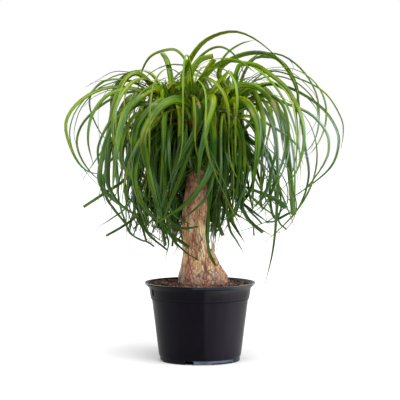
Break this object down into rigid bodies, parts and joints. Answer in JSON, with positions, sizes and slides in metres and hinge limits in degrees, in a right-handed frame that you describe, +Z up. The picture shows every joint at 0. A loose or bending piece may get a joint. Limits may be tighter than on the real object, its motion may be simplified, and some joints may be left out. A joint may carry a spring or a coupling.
{
  "type": "potted ponytail palm",
  "caption": "Young ponytail palm with a swollen trunk and heads of long arching leaves, standing in a round plastic nursery pot filled with potting mix.",
  "frame": {"origin": "centre of the pot's underside, on the surface it stands on", "axes": "+Z up along the pot's axis, -Y towards the viewer of the picture, +X to the viewer's right"},
  "size_m": [0.5306, 0.429, 0.627],
  "materials": {
    "pot_plastic": "charcoal injection-moulded polypropylene, satin, with a paler scuffed lip",
    "potting_mix": "dark peat and bark-chip mix, matt and crumbly",
    "bark": "tan fibrous bark with upright fissures, greyer and scaly at the swollen base",
    "leaf": "fresh green strap leaves, satin, finely veined lengthways, paler at the edges and brown at the base"
  },
  "bodies": {
    "root": {"pot": "pot_plastic", "soil": "potting_mix", "trunk": "bark", "head_left": "leaf", "head_front": "leaf", "head_right": "leaf", "head_back_left": "leaf", "head_back_right": "leaf"}
  },
  "joints": []
}
